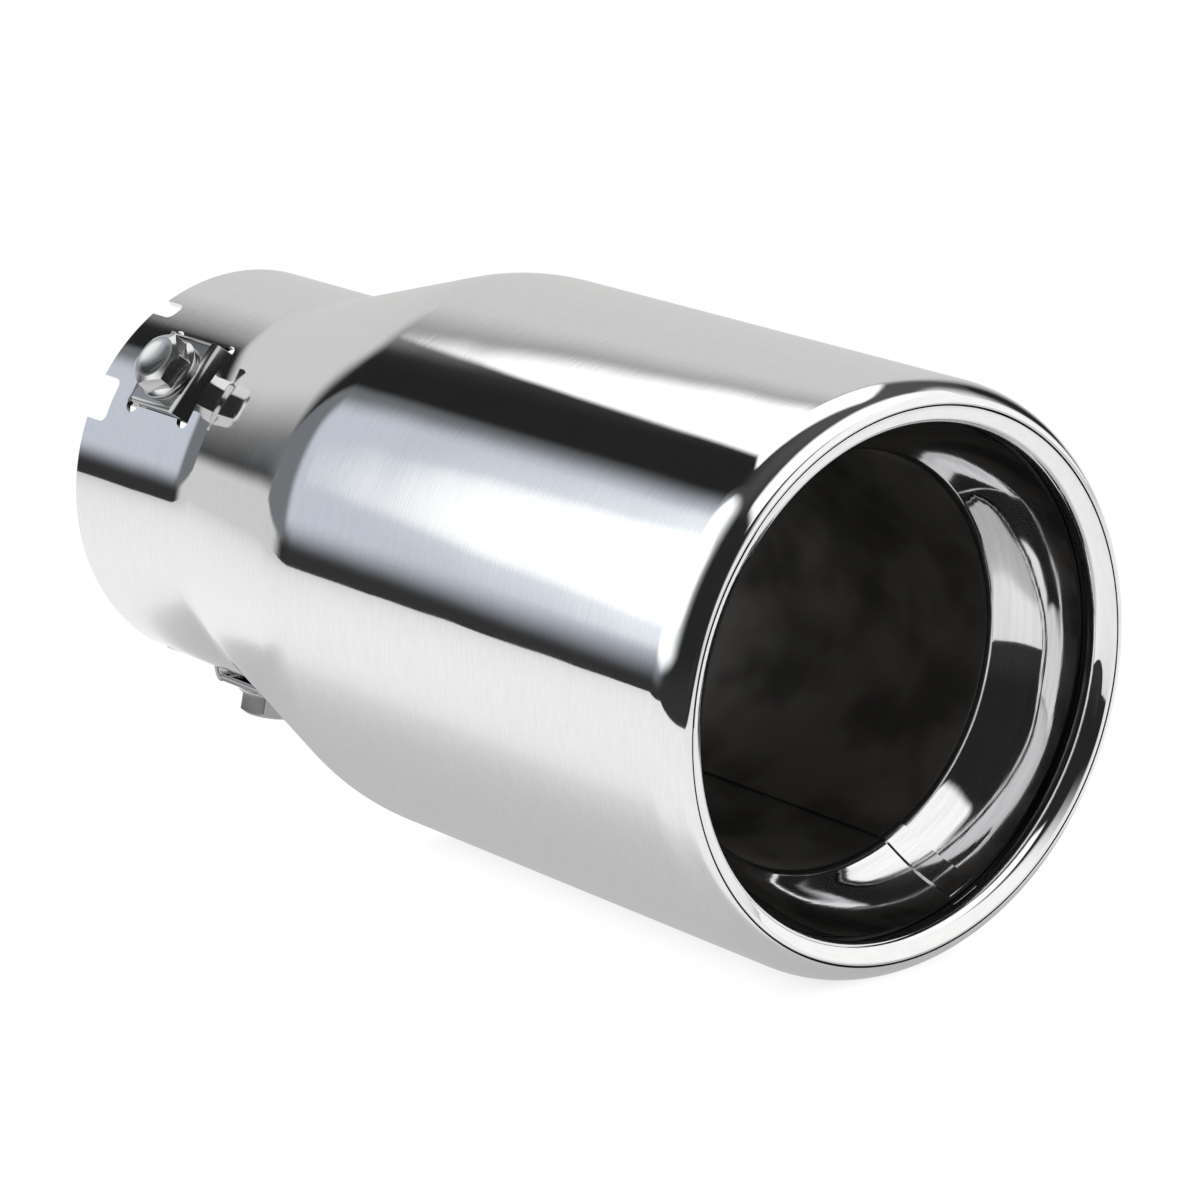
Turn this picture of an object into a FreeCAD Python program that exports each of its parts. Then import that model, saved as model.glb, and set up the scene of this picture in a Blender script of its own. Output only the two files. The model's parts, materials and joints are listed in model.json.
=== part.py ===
"""Clamp-on exhaust tip: a polished double-walled tube end with a rolled lip.

The tip lies along X. The inlet mouth is at x = 0 and the lip is at the far end.
Sizes are in millimetres. Angles round the tip start at +Z and grow towards -Y.
"""

import FreeCAD, Part
import math
import os

# Outer shell: one sheet from the inlet neck to the rolled front edge
OVERALL_LENGTH = 190.2
SHELL_GAUGE = 1.0
NECK_RADIUS = 38.0
NECK_RUN = 31.0
THROAT_BEND = 25.0
FLARE_ANGLE = 16.0
SHOULDER_BEND = 39.0
BARREL_RADIUS = 51.0
ROLL_BEND = 8.7
ROLL_ANGLE = 40.0
EDGE_BEND = 0.8
EDGE_LAND = 0.15

# Lip ring: welded to the shell's front edge and polished flush
RING_LAND = 0.3
CREASE_BEND = 0.5
CREASE_ANGLE = 25.0
RING_BAND = 1.05
NOSE_BEND = 1.8
NOSE_LAND = 0.3
JOGGLE_STEP = 0.94
JOGGLE_ANGLE = 45.0
JOGGLE_BEND = 0.6
RING_FLANGE = 8.6
SEAM_GROOVE = 0.22

# Liner and inner tube: rolled sheet, butted together inside the shell
LINER_GAUGE = 0.9
LINER_CLEARANCE = 0.2
MOUTH_GAP = 0.45
LINER_BAND = 3.0
LINER_CONE_ANGLE = 33.0
LINER_BEND = 3.0
LINER_TUBE_RUN = 51.7
TUBE_CLEARANCE = 0.1
LAP_WIDTH = 4.5
LAP_RISE = 0.5
LAP_ANGLE = 203.5

# Clamps: a bridge plate with a screw, on a tongue of the neck between two notches
CLAMP_COUNT = 3
FIRST_CLAMP_ANGLE = 48.0
CLAMP_X = 20.2
BRACKET_FLAT = 12.2
BRACKET_WIDTH = 15.4
BRACKET_GAUGE = 1.5
BRACKET_BEND = 0.8
LEG_SLOPE = 55.0
BRACKET_STANDOFF = 0.2
BRACKET_CORNER = 0.8
BORE_SETBACK = 0.1
SLOT_SIDE_CLEARANCE = 0.25
SLOT_END_CLEARANCE = 1.4
COLLAR_WALL = 1.0
COLLAR_CLEARANCE = 0.3

NOTCH_DEPTH = 5.6
NOTCH_CORNER = 1.6
WIDE_NOTCH = 8.6
WIDE_NOTCH_TURN = 12.35
NARROW_NOTCH = 4.0
NARROW_NOTCH_TURN = -20.0

# Clamp screw: M6 with a hexagon and a flange under it
SCREW_RADIUS = 3.0
SCREW_CLEARANCE = 0.05
SCREW_TIP_CHAMFER = 0.4
HEAD_HEIGHT = 5.0
HEX_ACROSS_FLATS = 10.0
HEX_CHAMFER_ANGLE = 30.0
HEX_FACE_INSET = 0.7
FLANGE_RADIUS = 6.2
FLANGE_RIM = 0.8
FLANGE_SLOPE = 28.0
DISH_INSET = 0.6
DISH_DEPTH = 0.35
FIRST_HEX_TURN = 22.0
HEX_TURN_STEP = 23.0

# Sizes that follow from the ones above
NECK_BORE = NECK_RADIUS - SHELL_GAUGE
TUBE_BORE = NECK_BORE - TUBE_CLEARANCE - LINER_GAUGE
PLATE_UNDERSIDE = NECK_RADIUS + BRACKET_STANDOFF
PLATE_TOP = PLATE_UNDERSIDE + BRACKET_GAUGE
OPEN_REACH = NECK_BORE + BORE_SETBACK
SCREW_HOLE = SCREW_RADIUS + SCREW_CLEARANCE
COLLAR_RADIUS = SCREW_HOLE + COLLAR_WALL

ORIGIN = FreeCAD.Vector(0, 0, 0)
AXIS = FreeCAD.Vector(1, 0, 0)
UP = FreeCAD.Vector(0, 0, 1)


def run(length):
    """A straight stretch of sheet."""
    return length, 0.0


def bend(inside_radius, turn):
    """A bend in the sheet, to the left of its path where turn is positive."""
    return inside_radius, turn


def side_step(step, steepest, first_bend, second_bend, gauge):
    """A bend, a run and a counter-bend that shift a path to its left by step."""
    radii = first_bend + second_bend + gauge
    steepest_step = radii * (1 - math.cos(math.radians(steepest)))
    if abs(step) < steepest_step:
        turn = math.degrees(math.acos(1 - abs(step) / radii))
    else:
        turn = steepest
    angle = math.radians(turn)
    length = (abs(step) - radii * (1 - math.cos(angle))) / math.sin(angle)
    left = math.copysign(turn, step)
    return [bend(first_bend, left), run(length), bend(second_bend, -left)]


def ahead(heading):
    """Unit vector along a heading in the XZ plane, in degrees from +X."""
    angle = math.radians(heading)
    return FreeCAD.Vector(math.cos(angle), 0, math.sin(angle))


def right_of(heading):
    """Unit vector to the right of a heading, the side that the sheet's gauge is on."""
    return ahead(heading - 90)


def follow(place, heading, moves, gauge, shift=0.0):
    """Edges along a path of runs and bends, shifted to its right, with the path's end."""
    edges = []
    for size, turn in moves:
        start = place
        first = heading
        if turn:
            radius = -size if turn > 0 else size + gauge
            centre = start + right_of(first) * radius
            half_way = first + turn / 2
            heading = first + turn
            middle = centre - right_of(half_way) * (radius - shift)
            place = centre - right_of(heading) * radius
            begin = start + right_of(first) * shift
            finish = place + right_of(heading) * shift
            edges.append(Part.Arc(begin, middle, finish).toShape())
        elif size > 0:
            place = start + ahead(first) * size
            sideways = right_of(first) * shift
            edges.append(Part.makeLine(start + sideways, place + sideways))
    return edges, place, heading


def sheet_section(place, heading, moves, gauge, near=0.0, far=None):
    """Closed section of the sheet between two shifts, normally its two faces."""
    if far is None:
        far = gauge
    front, end, last = follow(place, heading, moves, gauge, near)
    back, end, last = follow(place, heading, moves, gauge, far)
    first_cut = Part.makeLine(
        place + right_of(heading) * near, place + right_of(heading) * far
    )
    last_cut = Part.makeLine(end + right_of(last) * near, end + right_of(last) * far)
    edges = Part.__sortEdges__(front + back + [first_cut, last_cut])
    return Part.Face(Part.Wire(edges))


def spin(face, turn=360.0):
    """Solid swept by a section about the tip's axis."""
    return face.revolve(ORIGIN, AXIS, turn)


def turned(shape, angle):
    """Copy of a shape that was made on the +Z side, turned to an angle round the tip."""
    copy = shape.copy()
    copy.rotate(ORIGIN, AXIS, angle)
    return copy


def clamp_angles():
    """Angles of the clamps round the neck."""
    return [FIRST_CLAMP_ANGLE + 360.0 * i / CLAMP_COUNT for i in range(CLAMP_COUNT)]


def neck_prism(face):
    """A cutter that carries a flat outline through the neck's wall on the +Z side."""
    low = face.copy()
    low.translate(UP * (NECK_RADIUS / 2))
    return low.extrude(UP * NECK_RADIUS)


def rounded_outline(x_from, x_to, width, corners_from, corners_to):
    """Flat rectangle across the tip, with a corner radius at each end."""
    half = width / 2
    start = min(corners_from, half, x_to - x_from)
    end = min(corners_to, half, x_to - x_from)
    outline = Part.makePlane(x_to - x_from, width, FreeCAD.Vector(x_from, -half, 0))
    block = outline.extrude(UP)
    for x, radius in ((x_from, start), (x_to, end)):
        if radius > 0:
            upright = [
                e for e in block.Edges
                if e.BoundBox.ZLength > 0.5 and abs(e.CenterOfMass.x - x) < 1e-6
            ]
            block = block.makeFillet(radius * 0.999, upright)
    return [f for f in block.Faces if f.BoundBox.ZMax < 0.5][0]


def shell_front_moves():
    """The rolled front edge of the shell, up to the seam with the lip ring."""
    return [
        bend(ROLL_BEND, -ROLL_ANGLE),
        bend(EDGE_BEND, ROLL_ANGLE - 90),
        run(EDGE_LAND),
    ]


def seam_place():
    """Where the shell's front edge meets the lip ring, on the visible face."""
    edges, end, heading = follow(ORIGIN, 0, shell_front_moves(), SHELL_GAUGE)
    return FreeCAD.Vector(OVERALL_LENGTH, 0, BARREL_RADIUS + end.z)


def ring_nose_moves():
    """The lip ring from the seam to the end of its joggle."""
    return [
        run(RING_LAND),
        bend(CREASE_BEND, -CREASE_ANGLE),
        run(RING_BAND),
        bend(NOSE_BEND, CREASE_ANGLE - 90),
        run(NOSE_LAND),
    ] + side_step(-JOGGLE_STEP, JOGGLE_ANGLE, JOGGLE_BEND, JOGGLE_BEND, SHELL_GAUGE)


def ring_flange_place():
    """Where the lip ring's rear flange starts, on its bore."""
    edges, end, heading = follow(seam_place(), -90, ring_nose_moves(), SHELL_GAUGE)
    return end


def liner_place():
    """The liner's front edge, on its visible inner face."""
    flange = ring_flange_place()
    radius = flange.z - LINER_CLEARANCE - LINER_GAUGE
    return FreeCAD.Vector(flange.x - MOUTH_GAP, 0, radius)


def liner_moves():
    """The liner from its front band down the cone and back along its tube."""
    step = liner_place().z - TUBE_BORE
    cone = side_step(step, LINER_CONE_ANGLE, LINER_BEND, LINER_BEND, LINER_GAUGE)
    return [run(LINER_BAND)] + cone + [run(LINER_TUBE_RUN)]


def seam_groove():
    """The shallow V that the polished weld leaves between shell and lip ring."""
    seam = seam_place()
    half = FreeCAD.Vector(0, 0, SEAM_GROOVE)
    proud = FreeCAD.Vector(SEAM_GROOVE, 0, 0)
    corners = [seam - proud, seam + proud + half * 2, seam + proud - half * 2]
    return spin(Part.Face(Part.makePolygon(corners + corners[:1])))


def leg_reach(height):
    """Axial distance from the screw to a leg's outer face, at a height over the axis."""
    slope = math.radians(LEG_SLOPE)
    outside = BRACKET_BEND + BRACKET_GAUGE
    bend_end = PLATE_TOP - outside * (1 - math.cos(slope))
    return BRACKET_FLAT / 2 + outside * math.sin(slope) + (bend_end - height) / math.tan(slope)


def clamp_cutters():
    """Slots, screw hole and rim notches of one clamp, made on the +Z side."""
    cutters = []
    leg_end = math.sqrt(OPEN_REACH**2 - (BRACKET_WIDTH / 2) ** 2)
    inside = leg_reach(NECK_RADIUS) - BRACKET_GAUGE / math.sin(math.radians(LEG_SLOPE))
    near = inside - SLOT_SIDE_CLEARANCE
    far = leg_reach(leg_end) + SLOT_SIDE_CLEARANCE
    slot_length = BRACKET_WIDTH + 2 * SLOT_END_CLEARANCE
    ends = (far - near) / 2
    for x in (CLAMP_X - far, CLAMP_X + near):
        slot = rounded_outline(x, x + far - near, slot_length, ends, ends)
        cutters.append(neck_prism(slot))
    hole = Part.makeCircle(COLLAR_RADIUS + COLLAR_CLEARANCE, FreeCAD.Vector(CLAMP_X, 0, 0))
    cutters.append(neck_prism(Part.Face(Part.Wire([hole]))))
    for width, turn in ((WIDE_NOTCH, WIDE_NOTCH_TURN), (NARROW_NOTCH, NARROW_NOTCH_TURN)):
        notch = rounded_outline(-NOTCH_DEPTH, NOTCH_DEPTH, width, 0, NOTCH_CORNER)
        cutters.append(turned(neck_prism(notch), turn))
    return cutters


def outer_shell():
    """Neck, flare, barrel and rolled edge in one sheet, with the clamps' slots and notches."""
    flare = side_step(
        BARREL_RADIUS - NECK_RADIUS, FLARE_ANGLE, THROAT_BEND, SHOULDER_BEND, SHELL_GAUGE
    )
    front = shell_front_moves()
    edges, flare_end, heading = follow(ORIGIN, 0, flare, SHELL_GAUGE)
    edges, front_end, heading = follow(ORIGIN, 0, front, SHELL_GAUGE)
    barrel = OVERALL_LENGTH - NECK_RUN - flare_end.x - front_end.x
    moves = [run(NECK_RUN)] + flare + [run(barrel)] + front
    start = FreeCAD.Vector(0, 0, NECK_RADIUS)
    shell = spin(sheet_section(start, 0, moves, SHELL_GAUGE))
    shell = shell.cut(seam_groove())
    cutters = []
    for angle in clamp_angles():
        cutters += [turned(cutter, angle) for cutter in clamp_cutters()]
    return shell.cut(cutters)


def lip_ring():
    """Formed ring that closes the gap between shell and liner."""
    moves = ring_nose_moves() + [run(RING_FLANGE)]
    ring = spin(sheet_section(seam_place(), -90, moves, SHELL_GAUGE))
    return ring.cut(seam_groove())


def liner():
    """Mouth cone and tube, rolled from one sheet with a lapped seam along it."""
    wall = spin(sheet_section(liner_place(), 180, liner_moves(), LINER_GAUGE))
    lap_turn = math.degrees(LAP_WIDTH / TUBE_BORE)
    lap_face = sheet_section(
        liner_place(), 180, liner_moves(), LINER_GAUGE, -LAP_RISE, LINER_GAUGE / 2
    )
    lap = turned(spin(lap_face, lap_turn), LAP_ANGLE - lap_turn / 2)
    return wall.fuse(lap).removeSplitter()


def inner_tube():
    """Plain tube from the end of the neck's bore to the liner's rear edge."""
    edges, joint, heading = follow(liner_place(), 180, liner_moves(), LINER_GAUGE)
    length = joint.x - NECK_RUN
    start = FreeCAD.Vector(NECK_RUN, 0, 0)
    outside = Part.makeCylinder(TUBE_BORE + LINER_GAUGE, length, start, AXIS)
    return outside.cut(Part.makeCylinder(TUBE_BORE, length, start, AXIS))


def clamp_bracket():
    """Bridge plate with two sloping legs into the neck's slots and a collar for the screw."""
    outside = BRACKET_BEND + BRACKET_GAUGE
    slope = math.radians(LEG_SLOPE)
    low = NECK_BORE - BRACKET_WIDTH / 4
    leg = (PLATE_TOP - outside * (1 - math.cos(slope)) - low) / math.sin(slope)
    moves = [
        run(leg),
        bend(BRACKET_BEND, -LEG_SLOPE),
        run(BRACKET_FLAT),
        bend(BRACKET_BEND, -LEG_SLOPE),
        run(leg),
    ]
    start = FreeCAD.Vector(CLAMP_X - leg_reach(low), 0, low)
    section = sheet_section(start, LEG_SLOPE, moves, BRACKET_GAUGE)
    section.translate(FreeCAD.Vector(0, -BRACKET_WIDTH / 2, 0))
    bracket = section.extrude(FreeCAD.Vector(0, BRACKET_WIDTH, 0))
    screw_line = FreeCAD.Vector(CLAMP_X, 0, NECK_BORE / 2)
    collar_height = PLATE_TOP - NECK_BORE / 2 - BRACKET_GAUGE / 2
    collar = Part.makeCylinder(COLLAR_RADIUS, collar_height, screw_line)
    bore = Part.makeCylinder(OPEN_REACH, OVERALL_LENGTH, ORIGIN, AXIS)
    hole = Part.makeCylinder(SCREW_HOLE, NECK_RADIUS, screw_line)
    bracket = bracket.fuse(collar).removeSplitter().cut([bore, hole])
    sides = [
        e for e in bracket.Edges
        if e.BoundBox.YLength < 1e-6 and e.BoundBox.ZLength < 1e-6
        and abs(e.CenterOfMass.z - PLATE_TOP) < 1e-6
    ]
    return bracket.makeFillet(BRACKET_CORNER, sides)


def screw_profile():
    """Half section of the screw's flange and shank, with z from the plate's top."""
    hex_corner = HEX_ACROSS_FLATS / 2 / math.cos(math.radians(30))
    flange_rise = (FLANGE_RADIUS - HEX_ACROSS_FLATS / 2) * math.tan(math.radians(FLANGE_SLOPE))
    tip = OPEN_REACH - PLATE_TOP
    points = [
        (0, tip),
        (SCREW_RADIUS - SCREW_TIP_CHAMFER, tip),
        (SCREW_RADIUS, tip + SCREW_TIP_CHAMFER),
        (SCREW_RADIUS, 0),
        (FLANGE_RADIUS, 0),
        (FLANGE_RADIUS, FLANGE_RIM),
        (HEX_ACROSS_FLATS / 2, FLANGE_RIM + flange_rise),
        (0, FLANGE_RIM + flange_rise),
    ]
    return points, hex_corner


def clamp_screw(hex_turn):
    """Hexagon flange screw on the +Z side, seated on the bracket's plate."""
    points, hex_corner = screw_profile()
    outline = [FreeCAD.Vector(x, 0, z) for x, z in points]
    body = Part.Face(Part.makePolygon(outline + outline[:1])).revolve(ORIGIN, UP, 360)

    corners = []
    for i in range(7):
        angle = math.radians(60 * i)
        corners.append(FreeCAD.Vector(math.cos(angle), math.sin(angle), 0) * hex_corner)
    prism = Part.Face(Part.makePolygon(corners)).extrude(UP * HEAD_HEIGHT)
    face_radius = HEX_ACROSS_FLATS / 2 - HEX_FACE_INSET
    slope = math.tan(math.radians(HEX_CHAMFER_ANGLE))
    foot_radius = face_radius + HEAD_HEIGHT / slope
    prism = prism.common(Part.makeCone(foot_radius, face_radius, HEAD_HEIGHT))

    dish_radius = face_radius - DISH_INSET
    ball_radius = (dish_radius**2 + DISH_DEPTH**2) / (2 * DISH_DEPTH)
    ball_centre = UP * (HEAD_HEIGHT - DISH_DEPTH + ball_radius)
    screw = body.fuse(prism).removeSplitter().cut(Part.makeSphere(ball_radius, ball_centre))
    screw.rotate(ORIGIN, UP, hex_turn)
    screw.translate(FreeCAD.Vector(CLAMP_X, 0, PLATE_TOP))
    return screw


def build():
    """All pieces of the tip by name."""
    pieces = {
        "outer_shell": outer_shell(),
        "lip_ring": lip_ring(),
        "liner": liner(),
        "inner_tube": inner_tube(),
    }
    for i, angle in enumerate(clamp_angles()):
        hex_turn = FIRST_HEX_TURN + HEX_TURN_STEP * i
        pieces[f"clamp_bracket_{i + 1}"] = turned(clamp_bracket(), angle)
        pieces[f"clamp_screw_{i + 1}"] = turned(clamp_screw(hex_turn), angle)
    return pieces


os.makedirs("parts", exist_ok=True)
for name, piece in build().items():
    piece.exportStep(f"parts/{name}.step")
    print(name, len(piece.Solids), piece.isValid(), round(piece.Volume, 1))
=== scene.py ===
"""Clamp-on exhaust tip: the finished look of its sheet metal, built round the frame.

Lengths are in metres, and the sizes in the settings are given in millimetres.
The tip lies along X, with the inlet mouth at x = 0.
Angles round the tip start at +Z and grow towards -Y.
"""

import json
import math

import bmesh
import bpy
from mathutils import Matrix, Vector


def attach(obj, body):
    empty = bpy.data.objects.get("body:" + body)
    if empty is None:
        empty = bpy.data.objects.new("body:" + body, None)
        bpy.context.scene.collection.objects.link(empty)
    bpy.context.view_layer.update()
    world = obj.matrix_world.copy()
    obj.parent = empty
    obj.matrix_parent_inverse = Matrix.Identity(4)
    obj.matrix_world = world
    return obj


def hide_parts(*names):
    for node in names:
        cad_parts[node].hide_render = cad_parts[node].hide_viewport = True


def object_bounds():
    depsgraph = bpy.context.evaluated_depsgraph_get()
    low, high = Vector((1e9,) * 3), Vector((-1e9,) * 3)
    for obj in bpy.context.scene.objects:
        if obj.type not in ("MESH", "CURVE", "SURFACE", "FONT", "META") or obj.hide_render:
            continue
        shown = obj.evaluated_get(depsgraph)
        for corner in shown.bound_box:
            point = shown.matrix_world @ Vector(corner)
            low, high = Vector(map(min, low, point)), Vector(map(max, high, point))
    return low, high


bl_info = {
    "name": "Exhaust tip",
    "version": (1, 0, 0),
    "blender": (4, 5, 0),
    "location": "3D View > Sidebar > Exhaust tip",
    "description": "Polished double-walled exhaust tip with clamp plates and screws",
    "category": "Add Mesh",
}

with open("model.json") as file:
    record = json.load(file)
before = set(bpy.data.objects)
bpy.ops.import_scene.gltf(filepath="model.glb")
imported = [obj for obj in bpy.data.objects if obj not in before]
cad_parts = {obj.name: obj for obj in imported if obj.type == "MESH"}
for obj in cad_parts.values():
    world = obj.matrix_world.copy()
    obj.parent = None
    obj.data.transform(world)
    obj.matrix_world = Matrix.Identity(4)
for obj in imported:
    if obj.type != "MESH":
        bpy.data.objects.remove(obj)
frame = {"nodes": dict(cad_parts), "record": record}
CAD_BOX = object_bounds()
BODY = "root"
MM = 0.001
ORIGIN = Vector((0, 0, 0))
AXIS = Vector((1, 0, 0))

TIP_LENGTH = CAD_BOX[1].x
BARREL_RADIUS = CAD_BOX[1].z
NECK_BORE = frame["record"]["mounts"][0]["dims"]["r_mm"] * MM
FLOOR_HEIGHT = CAD_BOX[0].z
CLAMP_COUNT = sum(1 for name in frame["nodes"] if name.startswith("clamp_screw_"))

# How finely bends and turned shapes are drawn
ROUND_STEPS = 360
TURNED_STEPS = 96
BAR_STEPS = 64
HOLE_STEPS = 48
CORNER_STEPS = 8
DISH_STEPS = 6
LAP_STEPS = 8
STEP_ANGLE = 2.5

# Points closer than this count as one place, and closer than the second are merged
SAME_PLACE = 1e-6
MERGE_DISTANCE = 1e-7

# How far a cutter or a limit goes past a size, and how much of a slot's end is round
MARGIN = 1.1
SLOT_ROUNDING = 0.98


def length(name, description, millimetres):
    """A size, given in millimetres, that shows with units in the sidebar."""
    return bpy.props.FloatProperty(
        name=name, description=description, default=millimetres * MM, min=0.0, precision=5,
        subtype="DISTANCE", unit="LENGTH",
    )


def angle(name, description, degrees):
    """An angle, given in degrees."""
    return bpy.props.FloatProperty(
        name=name, description=description, default=math.radians(degrees),
        subtype="ANGLE", unit="ROTATION",
    )


def share(name, description, default):
    """A value between nothing and all."""
    return bpy.props.FloatProperty(
        name=name, description=description, default=default, min=0.0, max=1.0,
        subtype="FACTOR",
    )


def colour(name, description, default):
    """A finish's colour."""
    return bpy.props.FloatVectorProperty(
        name=name, description=description, default=default, size=3, min=0.0, max=1.0,
        subtype="COLOR",
    )


class TipShellSizes(bpy.types.PropertyGroup):
    """Sizes of the outer shell."""

    gauge: length("Gauge", "Thickness of the shell's sheet", 1.0)
    neck_run: length("Neck", "Straight length of the neck", 31.0)
    throat: length("Throat bend", "Inside radius where the neck opens out", 25.0)
    flare: angle("Flare", "Slope of the flare", 16.0)
    shoulder: length("Shoulder bend", "Inside radius at the barrel", 39.0)
    roll: length("Roll", "Inside radius of the rolled front edge", 8.7)
    roll_turn: angle("Roll turn", "Turn of the rolled front edge", 40.0)
    edge: length("Edge bend", "Inside radius of the last bend before the seam", 0.8)
    edge_land: length("Edge land", "Flat left at the seam", 0.15)
    groove: length("Seam groove", "Depth of the V at the lip's seam", 0.22)


class TipRingSizes(bpy.types.PropertyGroup):
    """Sizes of the lip ring."""

    land: length("Land", "Flat next to the seam", 0.3)
    crease: length("Crease bend", "Inside radius of the crease", 0.5)
    crease_turn: angle("Crease turn", "Turn at the crease", 25.0)
    band: length("Band", "Flat band before the nose", 1.05)
    nose: length("Nose", "Inside radius of the rounded nose", 1.8)
    nose_land: length("Nose land", "Straight behind the nose", 0.3)
    joggle: length("Joggle", "Step outwards behind the nose", 0.94)
    joggle_turn: angle("Joggle slope", "Slope of the step", 45.0)
    joggle_bend: length("Joggle bend", "Inside radius of the step's bends", 0.6)
    flange: length("Flange", "Straight flange that carries the liner", 8.6)


class TipLinerSizes(bpy.types.PropertyGroup):
    """Sizes of the liner and the inner tube."""

    gauge: length("Gauge", "Thickness of the liner's sheet", 0.9)
    clearance: length("Clearance", "Gap to the lip ring's flange", 0.2)
    mouth_gap: length("Mouth gap", "Gap behind the lip ring's joggle", 0.45)
    band: length("Band", "Straight band of the plain cone that places the joint", 3.0)
    cone: angle("Cone", "Slope of the plain cone that places the joint", 33.0)
    bend: length("Bend", "Inside radius of the plain cone's bends", 3.0)
    mouth_slope: angle("Mouth slope", "Slope of the drawn cone at its front edge", 12.0)
    foot_slope: angle("Foot slope", "Slope of the drawn cone where it meets the tube", 40.0)
    sweep: length("Sweep", "Radius of the drawn cone along the tip", 26.0)
    foot_bend: length("Foot bend", "Inside radius where the cone meets the tube", 2.0)
    tube_run: length("Tube", "Straight length behind the plain cone", 51.7)
    tube_clearance: length("Tube clearance", "Gap round the inner tube at the neck", 0.1)
    lap_width: length("Lap width", "Width of the lapped seam", 4.5)
    lap_rise: length("Lap rise", "Height of the lapped seam", 0.5)
    lap_place: angle("Lap place", "Angle of the lapped seam round the tip", 203.5)


class TipClampSizes(bpy.types.PropertyGroup):
    """Sizes of the clamp plates, their screws and the cuts in the neck."""

    first_turn: angle("First clamp", "Angle of the first clamp round the tip", 48.0)
    place: length("Place", "Distance from the rear rim to the screws", 20.2)
    plate_flat: length("Plate flat", "Length of the plate between its bends", 12.2)
    plate_width: length("Plate width", "Width of the plate", 15.4)
    plate_gauge: length("Plate gauge", "Thickness of the plate", 1.5)
    plate_bend: length("Plate bend", "Inside radius of the plate's bends", 0.8)
    leg_slope: angle("Leg slope", "Slope of the plate's legs", 55.0)
    standoff: length("Standoff", "Gap between neck and plate", 0.2)
    plate_corner: length("Plate corner", "Radius of the plate's corners", 0.8)
    deburr: length("Deburr", "Rounding of the plate's edges", 0.12)
    setback: length("Setback", "How far legs and screws end outside the bore", 0.1)
    slot_side: length("Slot side", "Clearance beside the legs", 0.25)
    slot_end: length("Slot end", "Clearance at the ends of the legs", 1.4)
    thread_gap: length("Thread gap", "Clearance round the thread", 0.05)
    collar_wall: length("Collar wall", "Wall of the collar round the screw", 1.0)
    collar_gap: length("Collar gap", "Clearance round the collar", 0.3)
    notch_depth: length("Notch depth", "Depth of the notches in the rim", 5.6)
    notch_corner: length("Notch corner", "Radius of the notches' corners", 1.6)
    wide_notch: length("Wide notch", "Width of the wide notch", 8.6)
    wide_turn: angle("Wide notch turn", "Its angle from the clamp", 12.35)
    narrow_notch: length("Narrow notch", "Width of the narrow notch", 4.0)
    narrow_turn: angle("Narrow notch turn", "Its angle from the clamp", -20.0)


class TipScrewSizes(bpy.types.PropertyGroup):
    """Sizes of the hexagon flange screws."""

    thread_radius: length("Thread radius", "Outside radius of the thread", 3.0)
    tip_chamfer: length("Tip chamfer", "Chamfer at the thread's end", 0.4)
    head_height: length("Head height", "Height of the head over the plate", 5.0)
    across_flats: length("Across flats", "Width of the hexagon", 10.0)
    chamfer: angle("Chamfer", "Slope of the chamfer round the hexagon's top", 30.0)
    face_inset: length("Face inset", "How far the chamfer starts inside the flats", 0.7)
    edge_round: length("Edge rounding", "Rounding of the hexagon's edges", 0.12)
    flange_radius: length("Flange radius", "Radius of the flange", 6.2)
    flange_rim: length("Flange rim", "Height of the flange at its rim", 0.8)
    flange_slope: angle("Flange slope", "Slope of the flange's top", 28.0)
    dish_inset: length("Dish inset", "Width of the flat round the dish", 0.6)
    dish_depth: length("Dish depth", "Depth of the dish in the head", 0.35)
    first_hex: angle("First turn", "Turn of the first hexagon", 22.0)
    hex_step: angle("Turn step", "How much further each hexagon is turned", 23.0)


class TipFinish(bpy.types.PropertyGroup):
    """Colours and gloss of the metals."""

    shell_colour: colour("Shell", "Colour of the polished steel", (0.9, 0.9, 0.91))
    shell_gloss: share("Shell roughness", "Roughness of the polished steel", 0.04)
    liner_colour: colour("Liner", "Colour of the liner's steel", (0.8, 0.8, 0.81))
    liner_gloss: share("Liner roughness", "Roughness of the liner's steel", 0.06)
    tube_colour: colour("Tube", "Colour of the inner tube", (0.21, 0.2, 0.188))
    tube_gloss: share("Tube roughness", "Roughness of the inner tube", 0.55)
    plate_colour: colour("Plate", "Colour of the clamp plates", (0.42, 0.42, 0.42))
    plate_gloss: share("Plate roughness", "Roughness of the clamp plates", 0.12)
    screw_colour: colour("Screw", "Colour of the clamp screws", (0.62, 0.62, 0.61))
    screw_gloss: share("Screw roughness", "Roughness of the clamp screws", 0.14)


def settings(name):
    """The scene's settings of one kind."""
    return getattr(bpy.context.scene, name)


def ahead(heading):
    """Unit vector along a heading in the XZ plane, measured from +X towards +Z."""
    return Vector((math.cos(heading), 0, math.sin(heading)))


def left_of(heading):
    """Unit vector to the left of a heading in the XZ plane."""
    return Vector((-math.sin(heading), 0, math.cos(heading)))


def side_step(step, steepest, bends, gauge):
    """Bend, run and counter-bend that shift a path to its left by step."""
    radii = 2 * sum(bends) / len(bends) + gauge
    run = (abs(step) - radii * (1 - math.cos(steepest))) / math.sin(steepest)
    turn = math.copysign(steepest, step)
    return [(bends[0], turn), (run, 0), (bends[1], -turn)]


def only_verts(geometry):
    """The vertices among what an operator gave back."""
    return [v for v in geometry if isinstance(v, bmesh.types.BMVert)]


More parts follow.
